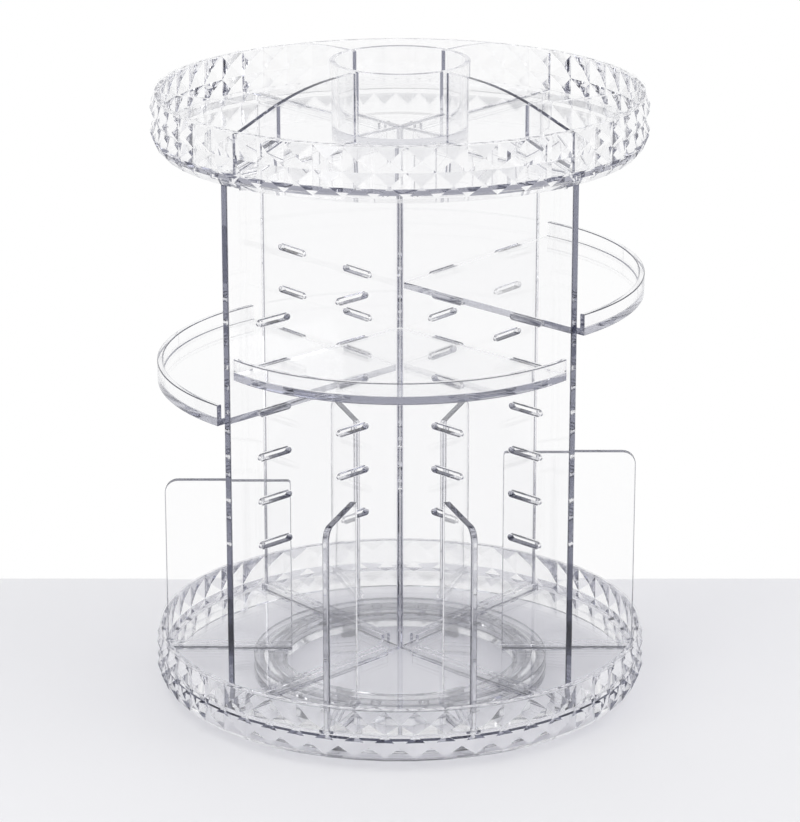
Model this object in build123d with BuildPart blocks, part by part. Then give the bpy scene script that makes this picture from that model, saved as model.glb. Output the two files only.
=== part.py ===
"""Rotating clear-plastic make-up organiser, 0.31 m tall.

Units are millimetres, +Z is up, the floor is z = 0 and the turning axis is the Z axis.
The front of the organiser faces -Y.
"""
from build123d import *
from math import cos, radians, sin, tan
import os

os.makedirs("parts", exist_ok=True)

# ------------------------------------------------------------------ driving sizes
facet_count = 52          # moulded diamonds round each rim
facet_rows = 2
row_height = 11.6         # height of one row of diamonds
facet_rise = 2.5          # how far a diamond stands out of the wall
valley_step = 0.7         # the wall between diamonds lies this far inside the top ring
ring_band = 0.6           # plain band over the diamonds
skirt_height = 2.6        # plain band under the diamonds
skirt_taper = 2.4         # how far the skirt draws in at its foot
floor_thickness = 2.6
tray_wall = 2.8           # from the top ring's outer edge to the bore

lower_ring_radius = 118.0
lower_tray_foot = 4.6     # height of the skirt's foot above the table
lower_depth = 15.0        # rim down to the tray's floor

upper_ring_radius = 116.0
upper_ring_top = 297.2    # height of the upper tray's rim
upper_depth = 19.8
upper_turn = 1.2          # the upper tray sits this many degrees round from the panels

cup_radius = 33.1
cup_wall = 2.6
cup_top = 311.0
cup_floor_lift = 3.0      # the cup's floor lies this far over the tray's floor
cup_floor_thickness = 2.4
gate_mark_radius = 5.8
gate_mark_height = 0.3

tray_divider_thickness = 2.4
tray_divider_angle = 41.5   # front and back walls of the upper tray, from the Y axis
side_wall_seat = 85.0       # where the side walls meet the front walls, from the axis
side_wall_rise = 8.0        # how much higher a side wall is at that end
tray_divider_drop = 1.6     # the walls start this far under the rim
wall_seat = 0.7             # the walls run this far into the rim and the cup
underside_rib_length = 16.0
underside_rib_drop = 1.5    # the ribs under the walls reach this far below the skirt
curve_start = (1, 0.3)      # direction in which a front wall leaves the rim
curve_points = ((0.33, 0.58), (0.66, 0.93))  # along a front wall: share of run, of rise

panel_thickness = 4.0
front_panel_reach = 112.4   # from the axis to the outer edge
back_panel_reach = 108.0
front_panel_angle = 45.0    # from the Y axis
back_panel_angle = 40.0
mitre_gap = 0.08            # between the mitred inner edges
channel_fit = 0.12          # between a plate and each side of its channel
channel_wall = 1.6
channel_height = 4.0
channel_start = 12.0        # the panel channels start this far from the axis
upper_channel_depth = 3.2   # the upper tray's channels are this deep
tongue_fit = 0.5            # between a panel's top tongue and the upper skirt's bore
skirt_wall = 2.4

slot_levels = 6
back_slot_levels = 3        # the back panels have the upper levels only
slot_pitch = 21.7
first_slot_height = 93.3
slot_height = 2.6
slot_length = 19.2
slot_corner = 0.3           # corner cut of a slot, as a share of its height
inner_slot = 33.0           # slot centres, from the axis
outer_slot = 83.7

shelf_radius = 116.5        # from the axis to the middle of a shelf's round front
front_corner_reach = 109.8  # from the axis to the front shelf's outer corners
shelf_slab = 3.1
shelf_lip_height = 10.1     # from the shelf's underside
shelf_lip_wall = 2.7
shelf_gap = 0.4             # between a shelf's edge and the panel
tab_fit = 0.25              # between a tab and its slot, all round
tab_end_gap = 0.3           # from the tab's end to the panel's far face
shelf_drop = 1.6            # the shelf's underside lies this far under the slot's middle

divider_thickness = 3.2
divider_foot = 2.6          # height of the dividers' channels
divider_end_gap = 0.8       # between a divider and the rim's bore
radial_divider_angle = 17.3
radial_divider_width = 42.0
front_divider_height = 100.4
back_divider_height = 95.6
left_divider_width = 60.0
left_divider_height = 87.4
right_divider_width = 63.0
right_divider_height = 102.0
divider_outer_round = 6.5
divider_inner_round = 1.6
divider_lift_gap = 0.1      # a divider rests this far over the floor

ball_diameter = 5.0
ball_count = 18
ball_sides = 8              # flats of a ball's outline, seen along each axis
race_radius = 66.0
race_fit = 0.05             # between a ball and its V-groove
bearing_width = 14.6        # radial width of the turntable's rings
bearing_centre_height = 8.6
ring_gap = 2.2              # between the two turntable rings
cage_thickness = 1.2
cage_width = 9.0
cage_hole_fit = 0.15
cage_sides = 36             # flats of the cage's outer and inner edge
foot_count = 6
foot_radius = 5.5
foot_sides = 20             # flats round a foot
base_clearance = 3.0        # the base ring's underside over the table
hook_count = 6
hook_width = 9.0
hook_thickness = 1.8
hook_root = 1.6             # how far a hook's root runs under the upper ring
hook_fit = 0.4
hook_barb = 1.2
hook_barb_height = 1.4

# ------------------------------------------------------------------ sizes that follow
pitch_angle = 360.0 / facet_count
lower_rim_turn = 270 + pitch_angle / 2
upper_rim_turn = 270 + upper_turn
tray_height = skirt_height + facet_rows * row_height + ring_band
lower_ring_top = lower_tray_foot + tray_height
lower_floor_top = lower_ring_top - lower_depth
lower_floor_under = lower_floor_top - floor_thickness
upper_tray_foot = upper_ring_top - tray_height
upper_floor_top = upper_ring_top - upper_depth
upper_floor_under = upper_floor_top - floor_thickness
cup_floor_top = upper_floor_top + cup_floor_lift
upper_bore = upper_ring_radius - tray_wall
lower_bore = lower_ring_radius - tray_wall


def skirt_bore(ring_radius):
    """The radius of the open space inside a tray's skirt."""
    flat = (ring_radius - valley_step) * cos(radians(pitch_angle / 2))
    return flat - skirt_taper - skirt_wall


def flats(radius, turn):
    """A sketch with as many flats as a rim has diamonds, to lie against them."""
    return RegularPolygon(radius, facet_count, major_radius=False, rotation=turn)


front_left, front_right = 270.0 - front_panel_angle, 270.0 + front_panel_angle
back_left, back_right = 90.0 + back_panel_angle, 90.0 - back_panel_angle
half_panel = panel_thickness / 2
slot_heights = [first_slot_height + slot_pitch * level for level in range(slot_levels)]


# ------------------------------------------------------------------ shared forms
def faceted_rim(ring_radius, foot_height_z, valley_turn):
    """A round wall, solid to the axis, with rows of diamonds between skirt and ring.

    A prism with one upright fold at each valley and each diamond's tip is cut by a stack
    of many-sided cones that widen to the tips and narrow to the row lines. What both hold
    is a four-sided pyramid on every flat.
    """
    valley = ring_radius - valley_step
    flat = valley * cos(radians(pitch_angle / 2))
    tip = flat + facet_rise
    rows_foot = foot_height_z + skirt_height
    rows_height = facet_rows * row_height
    with BuildPart() as rim:
        with BuildSketch(Plane.XY.offset(rows_foot)):
            fold_points = []
            for index in range(facet_count):
                valley_angle = radians(valley_turn + index * pitch_angle)
                tip_angle = valley_angle + radians(pitch_angle / 2)
                fold_points.append((valley * cos(valley_angle), valley * sin(valley_angle)))
                fold_points.append((tip * cos(tip_angle), tip * sin(tip_angle)))
            Polygon(*fold_points, align=None)
        extrude(amount=rows_height)
        for step in range(2 * facet_rows + 1):
            flat_here = flat + (facet_rise if step % 2 else 0.0)
            with BuildSketch(Plane.XY.offset(rows_foot + step * row_height / 2)):
                flats(flat_here, valley_turn)
        loft(ruled=True, mode=Mode.INTERSECT)
        with BuildSketch(Plane.XY.offset(rows_foot + rows_height)):
            Circle(ring_radius)
        extrude(amount=ring_band)
        with BuildSketch(Plane.XY.offset(foot_height_z)):
            flats(flat - skirt_taper, valley_turn)
        with BuildSketch(Plane.XY.offset(rows_foot)):
            flats(flat, valley_turn)
        loft(ruled=True)
    return rim.part


def channel(angle, start, end, thickness, foot, height):
    """Two low ribs, one on each side of a plate that stands along the given direction."""
    offset = thickness / 2 + channel_fit + channel_wall / 2
    with BuildPart() as ribs:
        with BuildSketch(Plane(origin=(0, 0, foot))):
            with Locations(Rotation(0, 0, angle)):
                with Locations(((start + end) / 2, offset), ((start + end) / 2, -offset)):
                    Rectangle(end - start, channel_wall)
        extrude(amount=height)
    return ribs.part


def oblong(length, height):
    """The outline of a slot or of the tab in it: a long hole whose ends are three flats."""
    with BuildSketch() as outline:
        Rectangle(length, height)
        chamfer(outline.vertices(), height * slot_corner)
    return outline.sketch


def panel(angle, reach, first_level, gap_left, gap_right):
    """An upright plate with a mitred inner edge and pairs of slots for the shelf tabs."""
    left_mitre = mitre_gap + half_panel / tan(radians(gap_left / 2))
    right_mitre = mitre_gap + half_panel / tan(radians(gap_right / 2))
    tongue = min(reach, skirt_bore(upper_ring_radius) - tongue_fit)
    upright = Plane(origin=(0, 0, 0), x_dir=(cos(radians(angle)), sin(radians(angle)), 0),
                    z_dir=(sin(radians(angle)), -cos(radians(angle)), 0))
    with BuildPart() as plate:
        for foot, head, width in ((lower_floor_top, upper_tray_foot, reach),
                                  (upper_tray_foot, upper_floor_under, tongue)):
            with BuildSketch(Plane.XY.offset(foot)):
                with Locations(Rotation(0, 0, angle)):
                    Polygon((mitre_gap, 0), (right_mitre, -half_panel),
                            (width, -half_panel), (width, half_panel),
                            (left_mitre, half_panel), align=None)
            extrude(amount=head - foot)
        with BuildSketch(upright):
            for height in slot_heights[first_level:]:
                with Locations((inner_slot, height), (outer_slot, height)):
                    add(oblong(slot_length, slot_height))
        extrude(amount=half_panel, both=True, mode=Mode.SUBTRACT)
    return plate.part


def shelf(first_angle, last_angle, corner_reach, level):
    """A round-fronted shelf between two panels, with a raised lip and two tabs a side.

    The front is one arc through the middle of the front and both corners.
    """
    edge = half_panel + shelf_gap
    half_opening = radians((last_angle - first_angle) / 2)
    middle = radians((first_angle + last_angle) / 2)
    apex = edge / sin(half_opening)
    apex_point = Vector(apex * cos(middle), apex * sin(middle))
    far = 2 * shelf_radius
    half_chord = corner_reach * sin(half_opening)
    arc_height = shelf_radius - corner_reach * cos(half_opening)
    front_radius = (half_chord ** 2 + arc_height ** 2) / (2 * arc_height)
    centre_shift = shelf_radius - front_radius
    front_centre = (centre_shift * cos(middle), centre_shift * sin(middle))
    underside = slot_heights[level] - shelf_drop
    tab_reach = shelf_gap + panel_thickness - tab_end_gap
    with BuildPart() as tray:
        with BuildSketch(Plane.XY.offset(underside)) as outline:
            with Locations(front_centre):
                Circle(front_radius)
            Polygon(apex_point,
                    apex_point + Vector(far * cos(radians(first_angle)),
                                        far * sin(radians(first_angle))),
                    apex_point + Vector(far * cos(middle), far * sin(middle)),
                    apex_point + Vector(far * cos(radians(last_angle)),
                                        far * sin(radians(last_angle))),
                    align=None, mode=Mode.INTERSECT)
        extrude(amount=shelf_slab)
        with BuildSketch(Plane.XY.offset(underside + shelf_slab)):
            add(outline.sketch)
            with Locations(front_centre):
                Circle(front_radius - shelf_lip_wall, mode=Mode.SUBTRACT)
        extrude(amount=shelf_lip_height - shelf_slab)
        for angle, side in ((first_angle, 1), (last_angle, -1)):
            along = Vector(cos(radians(angle)), sin(radians(angle)), 0)
            across = Vector(-sin(radians(angle)), cos(radians(angle)), 0) * side
            seat = Plane(origin=across * edge + Vector(0, 0, slot_heights[level]),
                         x_dir=along, z_dir=-across)
            with BuildSketch(seat):
                with Locations((inner_slot, 0), (outer_slot, 0)):
                    add(oblong(slot_length - 2 * tab_fit, slot_height - 2 * tab_fit))
            extrude(amount=tab_reach)
    return tray.part


def divider(angle, inner_radius, outer_radius, height):
    """A flat upright plate with one round upper corner, which stands in a floor channel."""
    middle = (inner_radius + outer_radius) / 2
    width = outer_radius - inner_radius
    foot = lower_floor_top + divider_lift_gap
    along = Vector(cos(radians(angle)), sin(radians(angle)), 0)
    face = Plane(origin=along * middle + Vector(0, 0, foot + height / 2), x_dir=along,
                 z_dir=(sin(radians(angle)), -cos(radians(angle)), 0))
    with BuildPart() as plate:
        with BuildSketch(face) as outline:
            Rectangle(width, height)
            upper = outline.vertices().group_by(Axis.Y)[-1].sort_by(Axis.X)
            fillet(upper[-1], divider_outer_round)
            upper = outline.vertices().group_by(Axis.Y)[-1].sort_by(Axis.X)
            fillet(upper[0], divider_inner_round)
        extrude(amount=divider_thickness / 2, both=True)
    return plate.part


def tray_wall_sheet(start, end, profile, thickness):
    """An upright wall of the upper tray, from its side view between two points in plan."""
    run = Vector(end[0] - start[0], end[1] - start[1], 0)
    along = run.normalized()
    side_view = Plane(origin=(start[0], start[1], 0), x_dir=along,
                      z_dir=along.cross(Vector(0, 0, 1)))
    with BuildPart() as sheet:
        with BuildSketch(side_view):
            with BuildLine():
                profile(run.length)
            make_face()
        extrude(amount=thickness / 2, both=True)
    return sheet.part


def polar(radius, angle):
    """A point in plan, from its distance to the axis and its direction in degrees."""
    return radius * cos(radians(angle)), radius * sin(radians(angle))


# ------------------------------------------------------------------ turntable
lower_ring_face = bearing_centre_height - ring_gap / 2
upper_ring_face = bearing_centre_height + ring_gap / 2
ring_bore = race_radius - bearing_width / 2
ring_outside = race_radius + bearing_width / 2
groove_radius = ball_diameter / 2 + race_fit
hook_outside = ring_bore - hook_fit
hook_inside = hook_outside - hook_thickness
barb_top = base_clearance - hook_fit
barb_foot = barb_top - hook_barb_height
side_turn = 180.0 / ball_sides

with BuildPart() as base_ring:
    with BuildSketch(Plane.XZ):
        Polygon((ring_bore, base_clearance), (ring_outside, base_clearance),
                (ring_outside, lower_ring_face), (ring_bore, lower_ring_face), align=None)
    revolve(axis=Axis.Z)
    with BuildSketch(Plane.XZ):
        with Locations((race_radius, bearing_centre_height)):
            RegularPolygon(groove_radius, 4, major_radius=False)
    revolve(axis=Axis.Z, mode=Mode.SUBTRACT)
base_ring.part.label = "base_ring"

with BuildPart() as foot_pads:
    with BuildSketch(Plane.XY):
        with PolarLocations(race_radius, foot_count):
            RegularPolygon(foot_radius, foot_sides)
    extrude(amount=base_clearance)
foot_pads.part.label = "foot_pads"

with BuildPart() as ball_cage:
    with BuildSketch(Plane.XY.offset(bearing_centre_height - cage_thickness / 2)):
        RegularPolygon(race_radius + cage_width / 2, cage_sides)
        RegularPolygon(race_radius - cage_width / 2, cage_sides, mode=Mode.SUBTRACT)
        with PolarLocations(race_radius, ball_count):
            RegularPolygon(ball_diameter / 2 + cage_hole_fit, ball_sides, major_radius=False,
                           rotation=side_turn, mode=Mode.SUBTRACT)
    extrude(amount=cage_thickness)
ball_cage.part.label = "ball_cage"

with BuildPart() as ball:
    for view, mode in ((Plane.XY, Mode.ADD), (Plane.YZ, Mode.INTERSECT),
                       (Plane.XZ, Mode.INTERSECT)):
        with BuildSketch(view):
            RegularPolygon(ball_diameter / 2, ball_sides, major_radius=False,
                           rotation=side_turn)
        extrude(amount=ball_diameter / 2, both=True, mode=mode)
with BuildPart() as bearing_balls:
    with Locations((0, 0, bearing_centre_height)):
        with PolarLocations(race_radius, ball_count):
            add(ball.part)
bearing_balls.part.label = "bearing_balls"

with BuildPart() as upper_ring:
    with BuildSketch(Plane.XZ):
        Polygon((ring_bore, upper_ring_face), (ring_outside, upper_ring_face),
                (ring_outside, lower_floor_under), (ring_bore, lower_floor_under),
                align=None)
    revolve(axis=Axis.Z)
    with BuildSketch(Plane.XZ):
        with Locations((race_radius, bearing_centre_height)):
            RegularPolygon(groove_radius, 4, major_radius=False)
    revolve(axis=Axis.Z, mode=Mode.SUBTRACT)
    with BuildSketch(Plane.XZ) as hook_side:
        Polygon((hook_inside, lower_floor_under), (hook_inside, barb_foot),
                (hook_outside, barb_foot), (hook_outside + hook_barb, barb_top),
                (hook_outside, barb_top), (hook_outside, upper_ring_face),
                (ring_bore + hook_root, upper_ring_face),
                (ring_bore + hook_root, lower_floor_under), align=None)
    hook = extrude(amount=hook_width / 2, both=True)
    for turn in range(1, hook_count):
        add(hook.rotate(Axis.Z, turn * 360 / hook_count))
upper_ring.part.label = "upper_ring"


# ------------------------------------------------------------------ lower tray
lower_rim = faceted_rim(lower_ring_radius, lower_tray_foot, lower_rim_turn)
back_first_level = slot_levels - back_slot_levels
panel_places = [("front_left_panel", front_left, front_panel_reach, 0),
                ("front_right_panel", front_right, front_panel_reach, 0),
                ("back_right_panel", back_right, back_panel_reach, back_first_level),
                ("back_left_panel", back_left, back_panel_reach, back_first_level)]
divider_reach = lower_bore - divider_end_gap
divider_places = [
    ("left_divider", 180.0, left_divider_width, left_divider_height),
    ("right_divider", 0.0, right_divider_width, right_divider_height),
    ("front_left_divider", 270 - radial_divider_angle, radial_divider_width,
     front_divider_height),
    ("front_right_divider", 270 + radial_divider_angle, radial_divider_width,
     front_divider_height),
    ("back_left_divider", 90 + radial_divider_angle, radial_divider_width,
     back_divider_height),
    ("back_right_divider", 90 - radial_divider_angle, radial_divider_width,
     back_divider_height)]
floor_channels = [channel(angle, channel_start, reach, panel_thickness, lower_floor_top,
                          channel_height)
                  for name, angle, reach, first_level in panel_places]
floor_channels += [channel(angle, divider_reach - width, divider_reach, divider_thickness,
                           lower_floor_top, divider_foot)
                   for name, angle, width, height in divider_places]

with BuildPart() as lower_tray:
    add(lower_rim)
    with BuildSketch(Plane.XY.offset(lower_floor_top)):
        Circle(lower_bore)
    extrude(amount=lower_depth, mode=Mode.SUBTRACT)
    with BuildSketch(Plane.XY.offset(lower_tray_foot)):
        flats(skirt_bore(lower_ring_radius), lower_rim_turn)
    extrude(amount=lower_floor_under - lower_tray_foot, mode=Mode.SUBTRACT)
    for ribs in floor_channels:
        add(ribs)
lower_tray.part.label = "lower_tray"


# ------------------------------------------------------------------ panels
front_gap = 2 * front_panel_angle
back_gap = 2 * back_panel_angle
side_gap = 180.0 - front_panel_angle - back_panel_angle
gaps = {"front_left_panel": (front_gap, side_gap), "front_right_panel": (side_gap, front_gap),
        "back_right_panel": (back_gap, side_gap), "back_left_panel": (side_gap, back_gap)}
panels = []
for name, angle, reach, first_level in panel_places:
    upright_plate = panel(angle, reach, first_level, *gaps[name])
    upright_plate.label = name
    panels.append(upright_plate)


# ------------------------------------------------------------------ shelves
shelf_places = [("left_shelf", back_left, front_left, shelf_radius, 3),
                ("front_shelf", front_left, front_right, front_corner_reach, 4),
                ("right_shelf", front_right - 360, back_right, shelf_radius, 5)]
shelves = []
for name, first_angle, last_angle, corner_reach, level in shelf_places:
    round_shelf = shelf(first_angle, last_angle, corner_reach, level)
    round_shelf.label = name
    shelves.append(round_shelf)


# ------------------------------------------------------------------ loose dividers
dividers = []
for name, angle, width, height in divider_places:
    plate = divider(angle, divider_reach - width, divider_reach, height)
    plate.label = name
    dividers.append(plate)


# ------------------------------------------------------------------ upper tray
wall_foot = upper_ring_top - tray_divider_drop
wall_head = cup_top - tray_divider_drop / 2


def curved_top(length):
    """Side view of a front or back wall: it climbs from the rim and levels off at the cup."""
    rise = wall_head - wall_foot
    middle_points = [(run * length, wall_foot + share * rise) for run, share in curve_points]
    Spline((0, wall_foot), *middle_points, (length, wall_head),
           tangents=(curve_start, (1, 0)))
    Polyline((length, wall_head), (length, upper_floor_top), (0, upper_floor_top),
             (0, wall_foot))


def slanted_top(length):
    """Side view of a side wall: its top rises in a straight line to the front wall."""
    Polyline((0, upper_floor_top), (0, wall_foot), (length, wall_foot + side_wall_rise),
             (length, upper_floor_top), close=True)


upper_rim = faceted_rim(upper_ring_radius, upper_tray_foot, upper_rim_turn)
tray_walls = []
for angle in (270 - tray_divider_angle, 270 + tray_divider_angle,
              90 - tray_divider_angle, 90 + tray_divider_angle):
    turned = angle + upper_turn
    tray_walls.append(tray_wall_sheet(polar(upper_bore + wall_seat, turned),
                                      polar(cup_radius - wall_seat, turned),
                                      curved_top, tray_divider_thickness))
for rim_angle, wall_angle in ((180, 270 - tray_divider_angle), (0, 270 + tray_divider_angle)):
    tray_walls.append(tray_wall_sheet(polar(upper_bore + wall_seat, rim_angle + upper_turn),
                                      polar(side_wall_seat, wall_angle + upper_turn),
                                      slanted_top, tray_divider_thickness))
under_channels = [channel(angle, channel_start,
                          min(reach, skirt_bore(upper_ring_radius) - tongue_fit),
                          panel_thickness, upper_floor_under - upper_channel_depth,
                          upper_channel_depth)
                  for name, angle, reach, first_level in panel_places]
rib_end = skirt_bore(upper_ring_radius)
rib_foot = upper_tray_foot - underside_rib_drop

with BuildPart() as upper_tray:
    add(upper_rim)
    with BuildSketch(Plane.XY.offset(upper_floor_top)):
        Circle(upper_bore)
    extrude(amount=upper_depth, mode=Mode.SUBTRACT)
    with BuildSketch(Plane.XY.offset(upper_tray_foot)):
        flats(skirt_bore(upper_ring_radius), upper_rim_turn)
    extrude(amount=upper_floor_under - upper_tray_foot, mode=Mode.SUBTRACT)
    for wall in tray_walls:
        add(wall)
    for ribs in under_channels:
        add(ribs)
    with BuildSketch(Plane.XY.offset(rib_foot)):
        for angle in (270 - tray_divider_angle, 270 + tray_divider_angle):
            with Locations(Rotation(0, 0, angle + upper_turn)):
                with Locations((rib_end - underside_rib_length / 2, 0)):
                    Rectangle(underside_rib_length, tray_divider_thickness)
    extrude(amount=upper_floor_under - rib_foot)
    with BuildSketch(Plane.XY.offset(upper_floor_top)):
        Circle(cup_radius)
    extrude(amount=cup_top - upper_floor_top)
    with BuildSketch(Plane.XY.offset(cup_floor_top)):
        Circle(cup_radius - cup_wall)
    extrude(amount=cup_top - cup_floor_top, mode=Mode.SUBTRACT)
    with BuildSketch(Plane.XY.offset(cup_floor_top)):
        Circle(gate_mark_radius)
    extrude(amount=gate_mark_height)
upper_tray.part.label = "upper_tray"


# ------------------------------------------------------------------ files
moulded = [base_ring.part, foot_pads.part, ball_cage.part, bearing_balls.part,
           upper_ring.part, lower_tray.part, upper_tray.part]
for piece in moulded + panels + shelves + dividers:
    export_step(piece, f"parts/{piece.label}.step")
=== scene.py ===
import bpy
import math
import numpy as np
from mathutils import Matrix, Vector
from mathutils.geometry import tessellate_polygon


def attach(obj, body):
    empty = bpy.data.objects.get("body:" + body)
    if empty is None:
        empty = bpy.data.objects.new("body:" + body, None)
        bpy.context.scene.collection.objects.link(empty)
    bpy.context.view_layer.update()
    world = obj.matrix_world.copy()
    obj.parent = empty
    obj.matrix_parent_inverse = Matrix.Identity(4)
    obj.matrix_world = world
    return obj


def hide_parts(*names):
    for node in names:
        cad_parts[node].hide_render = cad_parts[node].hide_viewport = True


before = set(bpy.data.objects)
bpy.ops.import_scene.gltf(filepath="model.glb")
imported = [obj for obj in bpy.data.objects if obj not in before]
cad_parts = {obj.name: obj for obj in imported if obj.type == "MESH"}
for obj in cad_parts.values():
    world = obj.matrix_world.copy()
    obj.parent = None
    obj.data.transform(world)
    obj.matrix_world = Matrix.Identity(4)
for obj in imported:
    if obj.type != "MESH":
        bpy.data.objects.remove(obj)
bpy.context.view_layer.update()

# ------------------------------------------------------------------ camera
# The organiser is looked down on from its own front, from far enough away that its upright
# edges stay nearly parallel. Light turns back many times inside clear plastic.
scene = bpy.context.scene
scene.view_settings.view_transform = "Standard"
light_bounces = 32
scene.cycles.max_bounces = light_bounces
scene.cycles.transmission_bounces = light_bounces
scene.cycles.glossy_bounces = light_bounces
scene.cycles.transparent_max_bounces = 2 * light_bounces

camera_data = bpy.data.cameras.new("camera")
camera_data.sensor_fit = "HORIZONTAL"
camera_data.sensor_width = 36.0
camera_data.lens = 157.9        # with its place and tilt, fitted to the rims and panels
camera_data.clip_end = 20.0
camera = bpy.data.objects.new("camera", camera_data)
camera.location = (0.0, -1.6134, 0.6583)
camera.rotation_euler = (math.radians(72.135), 0.0, 0.0)
scene.collection.objects.link(camera)
scene.camera = camera

# ------------------------------------------------------------------ studio
# A pale table in front of a white wall, under wide soft lamps and a duller ceiling, which
# is what draws the grey lines along the edges of clear plastic.
room_strength = 0.78            # of the light that falls on the table
# how steeply a ray climbs (0.5 level, 1 straight up), and what it then sees
ceiling = [(0.64, (1.0, 1.0, 1.0)), (0.72, (0.60, 0.605, 0.635)),
           (0.82, (0.24, 0.242, 0.27)), (0.94, (0.11, 0.11, 0.13))]

world = bpy.data.worlds.new("studio")
scene.world = world
world.use_nodes = True
nodes, links = world.node_tree.nodes, world.node_tree.links
nodes.clear()
world_out = nodes.new("ShaderNodeOutputWorld")
room = nodes.new("ShaderNodeBackground")
room.inputs["Color"].default_value = (1.0, 1.0, 1.0, 1.0)
room.inputs["Strength"].default_value = room_strength
direction = nodes.new("ShaderNodeTexCoord")
split = nodes.new("ShaderNodeSeparateXYZ")
steep = nodes.new("ShaderNodeMapRange")
steep.inputs["From Min"].default_value = -1.0
climb = nodes.new("ShaderNodeValToRGB")
for _ in ceiling[2:]:
    climb.color_ramp.elements.new(0.5)
for stop, (position, colour) in zip(climb.color_ramp.elements, ceiling):
    stop.position = position
    stop.color = (*colour, 1)
# the camera itself sees plain white
light_path = nodes.new("ShaderNodeLightPath")
wall_colour = nodes.new("ShaderNodeMix")
wall_colour.data_type = "RGBA"
wall_colour.inputs["B"].default_value = (1, 1, 1, 1)
wall = nodes.new("ShaderNodeBackground")
wall.inputs["Strength"].default_value = 1.0
# the wall and the ceiling are there for rays that see them, straight or through plastic
seen_straight = nodes.new("ShaderNodeMath")
seen_straight.operation = "MAXIMUM"
seen = nodes.new("ShaderNodeMath")
seen.operation = "MAXIMUM"
surroundings = nodes.new("ShaderNodeMixShader")
links.new(direction.outputs["Generated"], split.inputs[0])
links.new(split.outputs["Z"], steep.inputs["Value"])
links.new(steep.outputs["Result"], climb.inputs[0])
links.new(light_path.outputs["Is Camera Ray"], wall_colour.inputs["Factor"])
links.new(climb.outputs["Color"], wall_colour.inputs["A"])
links.new(wall_colour.outputs["Result"], wall.inputs["Color"])
links.new(light_path.outputs["Is Camera Ray"], seen_straight.inputs[0])
links.new(light_path.outputs["Is Transmission Ray"], seen_straight.inputs[1])
links.new(seen_straight.outputs[0], seen.inputs[0])
links.new(light_path.outputs["Is Glossy Ray"], seen.inputs[1])
links.new(seen.outputs[0], surroundings.inputs[0])
links.new(room.outputs[0], surroundings.inputs[1])
links.new(wall.outputs[0], surroundings.inputs[2])
links.new(surroundings.outputs[0], world_out.inputs[0])

aim_height = 0.15               # the lamps look at the organiser's middle


def soft_lamp(name, place, size, power):
    """A square lamp of the given size, turned towards the organiser."""
    data = bpy.data.lights.new(name, "AREA")
    data.shape = "SQUARE"
    data.size = size
    data.energy = power
    lamp = bpy.data.objects.new(name, data)
    lamp.location = place
    aim = Vector((0.0, 0.0, aim_height)) - Vector(place)
    lamp.rotation_euler = aim.to_track_quat("-Z", "Y").to_euler()
    scene.collection.objects.link(lamp)


soft_lamp("key", (-0.9, -0.9, 1.6), 1.2, 12.0)
soft_lamp("fill", (1.3, -0.5, 1.2), 1.2, 6.5)

table_back = 0.138            # behind this line the photograph shows the white wall
table_front, table_side = -3.0, 2.0
table_colour = (0.83, 0.83, 0.85)
table_mesh = bpy.data.meshes.new("table")
table_mesh.from_pydata([(-table_side, table_front, 0), (table_side, table_front, 0),
                        (table_side, table_back, 0), (-table_side, table_back, 0)],
                       [], [(0, 1, 2, 3)])
table = bpy.data.objects.new("table", table_mesh)
scene.collection.objects.link(table)
paint = bpy.data.materials.new("table_paint")
paint.use_nodes = True
table_shader = paint.node_tree.nodes["Principled BSDF"]
table_shader.inputs["Base Color"].default_value = (*table_colour, 1)
table_shader.inputs["Roughness"].default_value = 0.6
table_mesh.materials.append(paint)

# ------------------------------------------------------------------ base ring of the turntable
# A clear moulded ring with a V-shaped ball groove in its top. It stands on six soft pads
# and never turns.
MM = 0.001
race_radius = 66.0 * MM
ring_width = 14.6 * MM
groove_reach = 3.6 * MM          # from the balls' centres to the bottom of a groove
ball_height = 8.6 * MM
base_foot, base_top = 3.0 * MM, 7.5 * MM
ring_round = 0.35 * MM
groove_lip, groove_root = 0.2 * MM, 0.4 * MM    # radii at a groove's rims and at its bottom
ring_steps = 180
arc_steps = 5                    # a rounded corner has one point more


def rounded_outline(corners, radii, steps=arc_steps):
    """A closed outline with an arc in place of each corner, and its outward directions.

    Each side has a direction square to it. A corner's arc has its centre on the bisector
    of the two directions that meet there, and runs from one direction to the other: the
    point is centre + radius x direction, or minus it where the outline turns inward.
    """
    corners = np.asarray(corners, float)
    radii = np.broadcast_to(np.asarray(radii, float), len(corners))[:, None]
    before = corners - np.roll(corners, 1, axis=0)
    after = np.roll(corners, -1, axis=0) - corners
    before /= np.linalg.norm(before, axis=1)[:, None]
    after /= np.linalg.norm(after, axis=1)[:, None]
    turn = np.arctan2(before[:, 0] * after[:, 1] - before[:, 1] * after[:, 0],
                      np.sum(before * after, axis=1))[:, None]
    first = np.arctan2(-before[:, 0], before[:, 1])[:, None]
    middle = first + turn / 2
    inward = radii * np.sign(turn) / np.cos(turn / 2)
    centres = corners - inward * np.hstack([np.cos(middle), np.sin(middle)])
    angles = first + turn * np.linspace(0, 1, steps + 1)[None, :]
    outward = np.stack([np.cos(angles), np.sin(angles)], axis=2)
    points = centres[:, None, :] + (radii * np.sign(turn))[:, :, None] * outward
    return points.reshape(-1, 2), outward.reshape(-1, 2)


def grid_faces(rows, columns, start=0):
    """Four-sided faces of a grid whose columns close on themselves, as an index array."""
    row = np.arange(rows - 1)[:, None] * columns
    column = np.arange(columns)[None, :]
    beside = (column + 1) % columns
    corners = (row + column, row + beside, row + columns + beside, row + columns + column)
    return np.stack(corners, axis=2).reshape(-1, 4) + start


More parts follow.
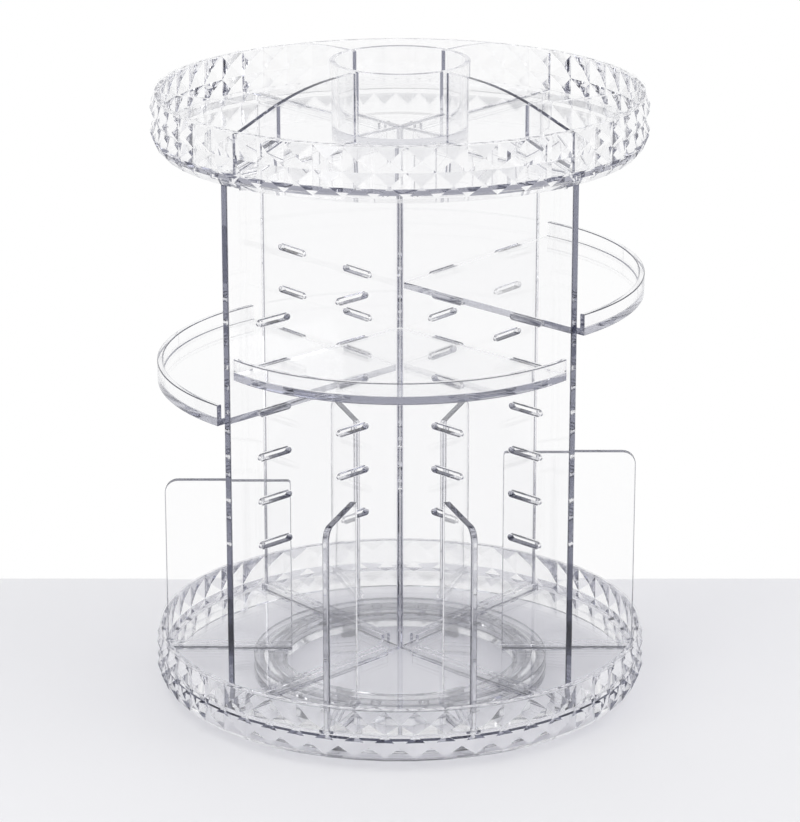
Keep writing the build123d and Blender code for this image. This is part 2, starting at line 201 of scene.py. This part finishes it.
def new_piece(name, points, faces, material, directions=None, edge_shading=None):
    """A mesh object from arrays of points and faces, with its shading directions if given.

    The last argument gives each point's painted shade, from 0 on a flat face to 1 on the middle
    of a rounded edge.
    """
    mesh = bpy.data.meshes.new(name)
    mesh.from_pydata(np.asarray(points).tolist(), [], [tuple(map(int, face)) for face in faces])
    mesh.polygons.foreach_set("use_smooth", np.ones(len(mesh.polygons), bool))
    mesh.materials.append(material)
    if directions is not None:
        mesh.normals_split_custom_set_from_vertices(np.asarray(directions).tolist())
    if edge_shading is not None:
        # the points' painted shade is kept in the attribute edge, which the material reads
        mesh.attributes.new("edge", "FLOAT", "POINT").data.foreach_set(
            "value", np.asarray(edge_shading, np.float32).ravel())
    piece = bpy.data.objects.new(name, mesh)
    scene.collection.objects.link(piece)
    return piece


def across_arcs(outline):
    """For a rounded outline: sin s along each corner's arc, 0 at its ends, 1 at its middle."""
    one_arc = np.sin(np.linspace(0, np.pi, arc_steps + 1))
    return np.tile(one_arc, len(outline) // (arc_steps + 1))


def turned_ring(name, corners, radii, material):
    """A ring: its cross-section, in distance to the axis and height, carried round the axis.

    A point (r, z) of the section goes to (r cos t, r sin t, z) for every angle t.
    """
    section, outward = rounded_outline(corners, radii)
    angle = np.linspace(0, 2 * np.pi, ring_steps, endpoint=False)[:, None]
    points = np.stack([section[:, 0] * np.cos(angle), section[:, 0] * np.sin(angle),
                       section[:, 1] + 0 * angle], axis=2)
    directions = np.stack([outward[:, 0] * np.cos(angle), outward[:, 0] * np.sin(angle),
                           outward[:, 1] + 0 * angle], axis=2)
    faces = grid_faces(ring_steps + 1, len(section)) % (ring_steps * len(section))
    # the painted shade of the rounded edges follows the section's arcs
    return new_piece(name, points.reshape(-1, 3), faces[:, ::-1], material,
                     directions.reshape(-1, 3), np.tile(across_arcs(section), ring_steps))


painted_edge_shade = (0.16, 0.162, 0.19)          # painted shade: base colour on a rounded edge, for the dark line refraction draws
shade_starts, shade_full = 0.1, 0.7        # where on the rounding the painted shade lies, 1 at its middle
caught_turns = 13.0                      # light that turned this often is taken as caught
caught_colour = (0.72, 0.725, 0.765)     # what each surface leaves of caught light
shadow_colour = (0.93, 0.93, 0.94)       # what each surface leaves of the lamps' light


def clear_plastic(name, depth_colour, depth, wave_size, wave_tilt):
    """Clear moulded plastic: tinted by its depth, with faint waves from the mould.

    The lamps' light passes straight through it, and so does light that has been caught in a
    plate for many turns. Rounded edges get painted shade in the base colour, drawn as dark
    lines.
    """
    material = bpy.data.materials.new(name)
    material.use_nodes = True
    nodes, links = material.node_tree.nodes, material.node_tree.links
    nodes.clear()
    out = nodes.new("ShaderNodeOutputMaterial")
    body = nodes.new("ShaderNodeBsdfPrincipled")
    body.inputs["Roughness"].default_value = 0.0
    body.inputs["IOR"].default_value = 1.49
    body.inputs["Transmission Weight"].default_value = 1.0
    # painted shade: the edge attribute darkens the base colour along rounded edges
    rounded = nodes.new("ShaderNodeAttribute")
    rounded.attribute_name = "edge"
    line = nodes.new("ShaderNodeValToRGB")
    line.color_ramp.elements[0].position = shade_starts
    line.color_ramp.elements[0].color = (1, 1, 1, 1)
    line.color_ramp.elements[1].position = shade_full
    line.color_ramp.elements[1].color = (*painted_edge_shade, 1)
    links.new(rounded.outputs["Fac"], line.inputs["Fac"])
    links.new(line.outputs["Color"], body.inputs["Base Color"])

    place = nodes.new("ShaderNodeTexCoord")
    waves = nodes.new("ShaderNodeTexNoise")
    waves.inputs["Scale"].default_value = 1 / wave_size
    waves.inputs["Detail"].default_value = 1.0
    tilt = nodes.new("ShaderNodeBump")
    tilt.inputs["Strength"].default_value = 1.0
    tilt.inputs["Distance"].default_value = wave_tilt * wave_size
    links.new(place.outputs["Object"], waves.inputs["Vector"])
    links.new(waves.outputs["Fac"], tilt.inputs["Height"])
    links.new(tilt.outputs["Normal"], body.inputs["Normal"])

    path = nodes.new("ShaderNodeLightPath")
    caught = nodes.new("ShaderNodeMath")
    caught.operation = "GREATER_THAN"
    caught.inputs[1].default_value = caught_turns
    pass_on = nodes.new("ShaderNodeMath")
    pass_on.operation = "MAXIMUM"
    dimmed = nodes.new("ShaderNodeMix")
    dimmed.data_type = "RGBA"
    dimmed.inputs["A"].default_value = (*caught_colour, 1)
    dimmed.inputs["B"].default_value = (*shadow_colour, 1)
    through = nodes.new("ShaderNodeBsdfTransparent")
    surface = nodes.new("ShaderNodeMixShader")
    links.new(path.outputs["Ray Depth"], caught.inputs[0])
    links.new(path.outputs["Is Shadow Ray"], pass_on.inputs[0])
    links.new(caught.outputs[0], pass_on.inputs[1])
    links.new(path.outputs["Is Shadow Ray"], dimmed.inputs["Factor"])
    links.new(dimmed.outputs["Result"], through.inputs["Color"])
    links.new(pass_on.outputs[0], surface.inputs[0])
    links.new(body.outputs[0], surface.inputs[1])
    links.new(through.outputs[0], surface.inputs[2])
    links.new(surface.outputs[0], out.inputs["Surface"])

    absorb = nodes.new("ShaderNodeVolumeAbsorption")
    absorb.inputs["Color"].default_value = (*depth_colour, 1)
    absorb.inputs["Density"].default_value = depth
    links.new(absorb.outputs[0], out.inputs["Volume"])
    return material


ring_plastic = clear_plastic("ring_plastic", (0.55, 0.555, 0.62), 8.0, 30 * MM, 0.001)
inner, outer = race_radius - ring_width / 2, race_radius + ring_width / 2
groove = base_top - (ball_height - groove_reach)
base_ring = turned_ring(
    "base_ring_moulding",
    [(inner, base_foot), (outer, base_foot), (outer, base_top), (race_radius + groove, base_top),
     (race_radius, base_top - groove), (race_radius - groove, base_top), (inner, base_top)],
    [ring_round, ring_round, ring_round, groove_lip, groove_root, groove_lip, ring_round],
    ring_plastic)
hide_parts("base_ring")
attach(base_ring, "base")

# ------------------------------------------------------------------ soft feet
# Six round pads of pale soft rubber pressed into the underside of the base ring, with
# rounded rims.
foot_count, foot_radius = 6, 5.5 * MM
foot_gap = 0.03 * MM             # keeps a pad's face off the ring's
foot_top = base_foot - foot_gap
foot_round = 0.8 * MM

rubber = bpy.data.materials.new("foot_rubber")
rubber.use_nodes = True
rubber.node_tree.nodes["Principled BSDF"].inputs["IOR"].default_value = 1.45


def fine_grain(material, scale, dark, light, smoothest, roughest):
    """Gives a material a fine noise that shades its colour and its roughness together."""
    nodes, links = material.node_tree.nodes, material.node_tree.links
    skin = nodes["Principled BSDF"]
    place = nodes.new("ShaderNodeTexCoord")
    grain = nodes.new("ShaderNodeTexNoise")
    grain.inputs["Scale"].default_value = scale
    shade = nodes.new("ShaderNodeValToRGB")
    shade.color_ramp.elements[0].color = (*dark, 1)
    shade.color_ramp.elements[1].color = (*light, 1)
    roughness = nodes.new("ShaderNodeMapRange")
    roughness.inputs["To Min"].default_value = smoothest
    roughness.inputs["To Max"].default_value = roughest
    links.new(place.outputs["Object"], grain.inputs["Vector"])
    links.new(grain.outputs["Fac"], shade.inputs["Fac"])
    links.new(shade.outputs["Color"], skin.inputs["Base Color"])
    links.new(grain.outputs["Fac"], roughness.inputs["Value"])
    links.new(roughness.outputs["Result"], skin.inputs["Roughness"])


fine_grain(rubber, 1500.0, (0.60, 0.60, 0.62), (0.72, 0.72, 0.74), 0.55, 0.8)


def round_pad(centre, radius, foot, top, edge, steps=40):
    """A round pad: its rounded rim's half-section, at distance r and height z, carried round.

    A point goes to centre + (r cos t, r sin t, z) for every angle t. The two faces are
    closed towards one point each on the pad's own axis.
    """
    section, _ = rounded_outline([(0, foot), (radius, foot), (radius, top), (0, top)],
                                 [0, edge, edge, 0])
    rim = section[arc_steps + 1:3 * (arc_steps + 1)]
    angle = np.linspace(0, 2 * np.pi, steps, endpoint=False)
    points = np.stack([centre[0] + np.outer(rim[:, 0], np.cos(angle)),
                       centre[1] + np.outer(rim[:, 0], np.sin(angle)),
                       np.outer(rim[:, 1], np.ones(steps))], axis=2).reshape(-1, 3)
    poles = np.array([(*centre, foot), (*centre, top)])
    faces = list(grid_faces(len(rim), steps))
    lower_pole, upper_pole = len(points), len(points) + 1
    upper = len(points) - steps
    ring = np.arange(steps)
    beside = (ring + 1) % steps
    faces += list(np.stack([beside, ring, ring * 0 + lower_pole], axis=1))
    faces += list(np.stack([upper + ring, upper + beside, ring * 0 + upper_pole], axis=1))
    return np.vstack([points, poles]), faces


def gathered(parts):
    """Several meshes as one: their points in a row, their faces counted on."""
    points, faces, start = [], [], 0
    for part_points, part_faces in parts:
        points.append(part_points)
        faces += [np.asarray(face) + start for face in part_faces]
        start += len(part_points)
    return np.vstack(points), faces


foot_angles = np.arange(foot_count) * 2 * np.pi / foot_count
feet = gathered([round_pad((race_radius * math.cos(angle), race_radius * math.sin(angle)),
                           foot_radius, 0.0, foot_top, foot_round)
                 for angle in foot_angles])
foot_pads = new_piece("foot_pads_rubber", *feet, rubber)
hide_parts("foot_pads")
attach(foot_pads, "base")

# ------------------------------------------------------------------ ball cage and balls
# Eighteen ground steel balls roll in the grooves, and a thin clear cage keeps them apart.
# Cage and balls turn at half the tower's speed.
ball_count, ball_radius = 18, 2.5 * MM
ball_rows, ball_columns = 12, 24

steel = bpy.data.materials.new("ball_steel")
steel.use_nodes = True
steel.node_tree.nodes["Principled BSDF"].inputs["Metallic"].default_value = 1.0
fine_grain(steel, 900.0, (0.74, 0.74, 0.76), (0.84, 0.84, 0.86), 0.08, 0.2)


def ball(centre):
    """A sphere: radius x (sin a cos t, sin a sin t, cos a), a from pole to pole, t round."""
    lift = np.linspace(0, np.pi, ball_rows + 1)[1:-1, None]
    round_angle = np.linspace(0, 2 * np.pi, ball_columns, endpoint=False)[None, :]
    points = np.stack([np.sin(lift) * np.cos(round_angle), np.sin(lift) * np.sin(round_angle),
                       np.cos(lift) + 0 * round_angle], axis=2).reshape(-1, 3)
    points = np.vstack([points, (0, 0, 1), (0, 0, -1)]) * ball_radius + centre
    faces = list(grid_faces(ball_rows - 1, ball_columns)[:, ::-1])
    upper_pole, lower_pole = len(points) - 2, len(points) - 1
    lowest = upper_pole - ball_columns
    ring = np.arange(ball_columns)
    beside = (ring + 1) % ball_columns
    faces += list(np.stack([ring, beside, ring * 0 + upper_pole], axis=1))
    faces += list(np.stack([lowest + beside, lowest + ring, ring * 0 + lower_pole], axis=1))
    return points, faces


ball_angles = np.arange(ball_count) * 2 * np.pi / ball_count
balls = new_piece("bearing_balls_steel", *gathered(
    [ball((race_radius * math.cos(angle), race_radius * math.sin(angle), ball_height))
     for angle in ball_angles]), steel)
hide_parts("bearing_balls")
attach(balls, "bearing")
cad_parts["ball_cage"].data.materials.clear()
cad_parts["ball_cage"].data.materials.append(ring_plastic)

# ------------------------------------------------------------------ upper ring of the turntable
# The ring that turns: a clear moulding with the second groove, six snap hooks that reach
# down through the base ring, and the tray glued on top of it.
upper_foot, upper_top = 9.7 * MM, 13.35 * MM
hook_count, hook_width = 6, 9.0 * MM
hook_inner, hook_outer = 56.5 * MM, 58.3 * MM
hook_barb, hook_foot, barb_top = 1.2 * MM, 1.2 * MM, 2.6 * MM
hook_root = 60.3 * MM
hook_edge = 0.15 * MM
root_overlap, top_overlap = 0.2 * MM, 0.5 * MM  # how deep a hook is sunk into the ring
flat_limit = math.radians(32)    # edges sharper than this stay sharp in shading


def fuse(piece, addition):
    """Joins closed shapes that are moulded in one, and keeps flat faces flat in shading."""
    union = piece.modifiers.new("union", "BOOLEAN")
    union.operation = "UNION"
    union.solver = "EXACT"
    union.object = addition
    depsgraph = bpy.context.evaluated_depsgraph_get()
    joined = bpy.data.meshes.new_from_object(piece.evaluated_get(depsgraph))
    piece.modifiers.clear()
    piece.data = joined
    bpy.data.objects.remove(addition)
    joined.polygons.foreach_set("use_smooth", np.ones(len(joined.polygons), bool))
    joined.set_sharp_from_angle(angle=flat_limit)
    weighted = piece.modifiers.new("flat_faces", "WEIGHTED_NORMAL")
    weighted.keep_sharp = True


def prism(section, depth, place):
    """A straight bar: a flat outline carried along its depth, closed at both ends.

    place() takes the outline's two coordinates and the depth, and gives the point.
    """
    count = len(section)
    points = np.vstack([place(section[:, 0], section[:, 1], -depth / 2),
                        place(section[:, 0], section[:, 1], depth / 2)])
    faces = list(grid_faces(2, count)) + [np.arange(count)[::-1], np.arange(count) + count]
    return points, faces


def hook(angle):
    """One hook: its side view, in distance to the axis and height, carried over its width."""
    root_foot, root_top = upper_foot + root_overlap, upper_top - top_overlap
    section, _ = rounded_outline(
        [(hook_inner, root_top), (hook_inner, hook_foot), (hook_outer, hook_foot),
         (hook_outer + hook_barb, barb_top), (hook_outer, barb_top), (hook_outer, root_foot),
         (hook_root, root_foot), (hook_root, root_top)], hook_edge, 2)
    cos, sin = math.cos(angle), math.sin(angle)
    return prism(section, hook_width, lambda r, z, across: np.stack(
        [r * cos + across * sin, r * sin - across * cos, z], axis=1))


groove = ball_height + groove_reach - upper_foot
upper_ring = turned_ring(
    "upper_ring_moulding",
    [(inner, upper_foot), (race_radius - groove, upper_foot),
     (race_radius, upper_foot + groove), (race_radius + groove, upper_foot),
     (outer, upper_foot), (outer, upper_top), (inner, upper_top)],
    [ring_round, groove_lip, groove_root, groove_lip, ring_round, ring_round, ring_round],
    ring_plastic)
hooks = new_piece("hooks", *gathered([hook(turn * 2 * math.pi / hook_count)
                                      for turn in range(hook_count)]), ring_plastic)
fuse(upper_ring, hooks)
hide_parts("upper_ring")
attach(upper_ring, "tower")

# ------------------------------------------------------------------ lower tray
# One clear moulding: a low round tray whose outside is two rows of diamonds over a drawn-in
# skirt, with channels in its floor for the panels and the dividers.
organiser_tint, organiser_depth = (0.50, 0.505, 0.58), 9.0   # the plastic above the ring
tray_plastic = clear_plastic("tray_plastic", organiser_tint, organiser_depth, 25 * MM, 0.0012)
lower_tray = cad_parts["lower_tray"]
lower_tray.data.materials.clear()
lower_tray.data.materials.append(tray_plastic)

# ------------------------------------------------------------------ upright panels
# Four clear moulded plates, mitred where they meet at the axis, with pairs of slots for the
# shelves' tabs. They stand in the lower tray's channels and carry the upper tray.
panel_half = 2.0 * MM
panel_edge = 0.55 * MM          # radius of every edge
panel_foot, panel_shoulder, panel_head = 16.05 * MM, 270.75 * MM, 274.75 * MM
panel_inner = 0.1 * MM
tongue_reach = 109.79 * MM
slot_length, slot_height = 19.2 * MM, 2.6 * MM
slot_places = (33.0 * MM, 83.7 * MM)
slot_heights = (93.3 + 21.7 * np.arange(6)) * MM
slot_arc_steps = 6
tongue_round = 0.3 * MM         # where a panel's head is let into the upper tray
front_mitre, side_mitre, back_mitre = 2.0 * MM, 1.83 * MM, 2.38 * MM
edge_steps = 6
lower_slot_shade, upper_slot_shade = 0.6, 0.2     # painted shade on a slot's lower and upper edges, beside the outer edges' 1
shade_from = 8 * MM             # nearer to the axis than this no edge gets painted shade
corner_spare = 0.1 * MM         # a corner's radius is this much more than its edge's
next_to_none = 0.01 * MM        # a radius for a corner that stays sharp


def plate(outline, holes, half, edge):
    """A plate with rounded edges: points along, up and across it, directions, faces, painted
    shade.

    Outline and holes are pairs of points and outward directions. Each loop is carried over
    the edge's section: from one face round a quarter circle, straight, and round to the
    other face. A loop point moves inward by edge x (1 - cos s) and lies at the height
    (half - edge) + edge x sin s, and the two faces are filled between their loops.
    """
    sweep = np.linspace(np.pi / 2, 0, edge_steps + 1)
    inset = np.concatenate([edge * (1 - np.cos(sweep)), [0], edge * (1 - np.cos(sweep[::-1]))])
    rise = np.concatenate([half - edge + edge * np.sin(sweep), [0],
                           edge - half - edge * np.sin(sweep[::-1])])
    lean = np.concatenate([sweep, [0], -sweep[::-1]])
    points, directions, faces, edge_shading, tops, start = [], [], [], [], [], 0
    for loop, outward in [outline] + holes:
        flat = loop[None, :, :] - inset[:, None, None] * outward[None, :, :]
        across = np.broadcast_to(rise[:, None, None], flat.shape[:2] + (1,))
        points.append(np.concatenate([flat, across], axis=2).reshape(-1, 3))
        turned = np.cos(lean)[:, None, None] * outward[None, :, :]
        up = np.broadcast_to(np.sin(lean)[:, None, None], flat.shape[:2] + (1,))
        directions.append(np.concatenate([turned, up], axis=2).reshape(-1, 3))
        # painted shade along the rounded edges, heavier on a slot's lower side than on its upper
        lower = loop[:, 1] < loop[:, 1].mean()
        dark = np.ones(len(loop)) if start == 0 else np.where(lower, lower_slot_shade,
                                                              upper_slot_shade)
        edge_shading.append((np.abs(np.sin(2 * lean))[:, None] * dark[None, :]).ravel())
        faces += list(grid_faces(len(inset), len(loop), start)[:, ::-1])
        tops.append((start, flat[0]))
        start += flat.shape[0] * flat.shape[1]
    filled = tessellate_polygon([[Vector((*point, 0)) for point in flat] for _, flat in tops])
    top_index = np.concatenate([np.arange(len(flat)) + first for first, flat in tops])
    below = np.concatenate([np.full(len(flat), (len(inset) - 1) * len(flat))
                            for _, flat in tops])
    points, directions = np.vstack(points), np.vstack(directions)
    for triangle in map(list, filled):
        p, q, r = points[top_index[triangle], :2]
        if (q[0] - p[0]) * (r[1] - p[1]) - (q[1] - p[1]) * (r[0] - p[0]) < 0:
            triangle = triangle[::-1]
        faces.append(top_index[triangle])
        faces.append((top_index + below)[triangle][::-1])
    return points, directions, faces, np.concatenate(edge_shading)


def slot_outline(centre, height):
    """A slot with round ends: a rectangle whose corners are rounded by half its height."""
    left, right = centre - slot_length / 2, centre + slot_length / 2
    low, high = height - slot_height / 2, height + slot_height / 2
    return rounded_outline([(left, low), (left, high), (right, high), (right, low)],
                           slot_height / 2 - next_to_none, slot_arc_steps)


def stood_up(local, angle):
    """Turns rows of (along, up, across) about the axis to where they stand in the tower."""
    cos, sin = math.cos(angle), math.sin(angle)
    along, up, across = local[:, 0], local[:, 1], local[:, 2]
    return np.stack([along * cos + across * sin, along * sin - across * cos, up], axis=1)


def upright_panel(name, angle, reach, first_level, mitres):
    """A slotted plate whose inner edge is a wedge, so that four of them meet at the axis."""
    head = min(reach, tongue_reach)
    corner = panel_edge + corner_spare
    corners = [(panel_inner, panel_foot), (reach, panel_foot), (reach, panel_shoulder)]
    if head < reach:
        corners += [(head, panel_shoulder)]
        radii = [corner, corner, corner, tongue_round, corner, corner]
    else:
        corners = corners[:2]
        radii = corner
    corners += [(head, panel_head), (panel_inner, panel_head)]
    holes = [slot_outline(centre, height) for height in slot_heights[first_level:]
             for centre in slot_places]
    points, directions, faces, edge_shading = plate(rounded_outline(corners, radii), holes,
                                             panel_half, panel_edge)
    near = points[:, 0] < panel_inner + 2 * panel_edge
    side = np.where(points[:, 2] < 0, *mitres)
    points[near, 0] += (np.abs(points[:, 2]) / panel_half * side)[near]
    # no painted edge shade near the axis
    edge_shading = edge_shading * (points[:, 0] > shade_from)
    return new_piece(name, stood_up(points, angle), faces, panel_plastic,
                     stood_up(directions, angle), edge_shading)


panel_plastic = clear_plastic("panel_plastic", organiser_tint, organiser_depth, 40 * MM, 0.0008)
for name, degrees, reach, first_level, mitres in (
        ("front_left_panel", 225, 112.4 * MM, 0, (front_mitre, side_mitre)),
        ("front_right_panel", 315, 112.4 * MM, 0, (side_mitre, front_mitre)),
        ("back_right_panel", 50, 108.0 * MM, 3, (back_mitre, side_mitre)),
        ("back_left_panel", 130, 108.0 * MM, 3, (side_mitre, back_mitre))):
    panel = upright_panel(name.replace("_panel", "_plate"), math.radians(degrees), reach,
                          first_level, mitres)
    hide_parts(name)
    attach(panel, "tower")

# ------------------------------------------------------------------ shelves
# Three clear mouldings, each a slab between two panels with a round front and a raised lip.
# Two flat tabs a side, moulded in one with the slab, sit in the panels' slots.
slab, lip_height, lip_wall = 3.1 * MM, 10.1 * MM, 2.7 * MM
shelf_reach = 116.5 * MM        # from the axis to the middle of a shelf's front
shelf_edge = 0.5 * MM
shelf_fillet = 0.6 * MM         # where the slab runs up into the lip
section_run = 30 * MM           # how far in the section is drawn before it is cut off
side_offset = 2.4 * MM          # from a panel's middle to the shelf's side
slab_drop = 1.6 * MM            # the underside lies this far under the slots' middle
tab_length, tab_thickness, tab_reach = 18.7 * MM, 2.1 * MM, 4.1 * MM
tab_round, tab_root = 0.6 * MM, 1.0 * MM
tab_arc_steps = 3
shelf_steps = 72


def shelf_shape(first, last, corner_reach, underside):
    """A shelf: a section of slab and lip carried along the round front, drawn to a point.

    The section gives how far in from the front each line lies, and how high. Each line
    runs on its own arc about the front's centre, between the two straight sides, and the
    slab's two faces run from the lip to the corner near the axis.
    """
    half_opening = (last - first) / 2
    middle = (first + last) / 2
    arc_height = shelf_reach - corner_reach * math.cos(half_opening)
    half_chord = corner_reach * math.sin(half_opening)
    front_radius = (half_chord ** 2 + arc_height ** 2) / (2 * arc_height)
    axis = np.array([math.cos(middle), math.sin(middle)])
    centre = (shelf_reach - front_radius) * axis
    apex = side_offset / math.sin(half_opening) * axis
    section, _ = rounded_outline(
        [(section_run, slab), (lip_wall, slab), (lip_wall, lip_height), (0, lip_height), (0, 0),
         (section_run, 0)],
        [next_to_none, shelf_fillet, shelf_edge, shelf_edge, shelf_edge, next_to_none])
    # painted shade along the shelf's rounded edges, none on the fillet
    fillet = np.arange(len(section)) // (arc_steps + 1) == 1
    dark = np.where(fillet, 0, across_arcs(section))
    near_lip = section[:, 0] < section_run / 2
    section, dark = section[near_lip], dark[near_lip]
    radii = front_radius - section[:, 0]
    ends = []
    for angle in (first, last):
        side = np.array([math.cos(angle), math.sin(angle)])
        offset = apex - centre
        along = side @ offset
        run = np.sqrt(along ** 2 - offset @ offset + radii ** 2) - along
        hit = offset + run[:, None] * side
        ends.append(np.arctan2(hit[:, 1], hit[:, 0]))
    spread = (ends[1] - ends[0]) % (2 * np.pi)
    share = np.linspace(0, 1, shelf_steps + 1)[:, None]
    angles = ends[0] + share * spread
    arcs = np.stack([centre[0] + radii * np.cos(angles), centre[1] + radii * np.sin(angles),
                     underside + section[:, 1] + 0 * angles], axis=2)
    count = len(section)
    points = np.vstack([arcs.reshape(-1, 3), (*apex, underside + slab), (*apex, underside)])
    top, bottom = len(points) - 2, len(points) - 1
    row = np.arange(shelf_steps)[:, None] * count
    column = np.arange(count - 1)[None, :]
    faces = list(np.stack([row + column, row + column + 1, row + count + column + 1,
                           row + count + column], axis=2).reshape(-1, 4))
    row = row[:, 0]
    faces += list(np.stack([row * 0 + top, row, row + count], axis=1))
    faces += list(np.stack([row * 0 + bottom, row + 2 * count - 1, row + count - 1], axis=1))
    last_row = shelf_steps * count
    faces.append(np.concatenate([[top, bottom], np.arange(count)[::-1]]))
    faces.append(np.concatenate([[bottom, top], last_row + np.arange(count)]))
    return points, faces, np.concatenate([np.tile(dark, shelf_steps + 1), [0, 0]])


def shelf_tab(angle, side, centre, height):
    """A flat tab: a rounded rectangle carried square to the shelf's side, into the slot."""
    near, far = centre - tab_length / 2, centre + tab_length / 2
    low, high = height - tab_thickness / 2, height + tab_thickness / 2
    section, _ = rounded_outline([(near, low), (far, low), (far, high), (near, high)],
                                 tab_round, tab_arc_steps)
    cos, sin = math.cos(angle), math.sin(angle)
    root = side * (side_offset + tab_root)
    end = side * (side_offset - tab_reach)
    middle, depth = (root + end) / 2, abs(root - end)
    return prism(section, depth, lambda along, up, across: np.stack(
        [along * cos - (middle - across) * sin, along * sin + (middle - across) * cos, up],
        axis=1))


shelf_plastic = clear_plastic("shelf_plastic", organiser_tint, organiser_depth, 30 * MM, 0.0008)
for name, first, last, corner_reach, level in (
        ("left_shelf", 130, 225, shelf_reach, 3),
        ("front_shelf", 225, 315, 109.8 * MM, 4),
        ("right_shelf", -45, 50, shelf_reach, 5)):
    first, last = math.radians(first), math.radians(last)
    height = slot_heights[level]
    points, faces, edge_shading = shelf_shape(first, last, corner_reach, height - slab_drop)
    shelf = new_piece(name + "_moulding", points, faces, shelf_plastic, edge_shading=edge_shading)
    tabs = new_piece("tabs", *gathered(
        [shelf_tab(angle, side, centre, height) for angle, side in ((first, 1), (last, -1))
         for centre in slot_places]), shelf_plastic)
    fuse(shelf, tabs)
    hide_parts(name)
    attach(shelf, "tower")

# ------------------------------------------------------------------ loose dividers
# Six clear moulded plates with one large round upper corner. Each stands loose between two
# low ribs of the lower tray's floor, and lifts straight out.
divider_half = 1.6 * MM
divider_edge = 0.5 * MM
divider_foot = 16.1 * MM
divider_reach = 114.4 * MM
outer_round, inner_round = 6.5 * MM, 1.6 * MM
divider_arc_steps = 8
divider_plastic = clear_plastic("divider_plastic", organiser_tint, organiser_depth, 18 * MM,
                                0.0015)
for name, degrees, width, height in (
        ("left_divider", 180.0, 60.0, 87.4), ("right_divider", 0.0, 63.0, 102.0),
        ("front_left_divider", 252.7, 42.0, 100.4),
        ("front_right_divider", 287.3, 42.0, 100.4),
        ("back_left_divider", 107.3, 42.0, 95.6),
        ("back_right_divider", 72.7, 42.0, 95.6)):
    near, top = divider_reach - width * MM, divider_foot + height * MM
    low_round = divider_edge + corner_spare
    outline = rounded_outline([(near, divider_foot), (divider_reach, divider_foot),
                               (divider_reach, top), (near, top)],
                              [low_round, low_round, outer_round, inner_round],
                              divider_arc_steps)
    points, directions, faces, edge_shading = plate(outline, [], divider_half, divider_edge)
    angle = math.radians(degrees)
    divider = new_piece(name.replace("_divider", "_plate_loose"), stood_up(points, angle),
                        faces, divider_plastic, stood_up(directions, angle), edge_shading)
    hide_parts(name)
    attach(divider, name)

# ------------------------------------------------------------------ upper tray
# The largest moulding: rim and skirt as below, with the compartment walls, the cup in the
# middle and the channels that grip the panels' heads all in one with its floor.
upper_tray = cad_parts["upper_tray"]
upper_tray.data.materials.clear()
upper_tray.data.materials.append(tray_plastic)
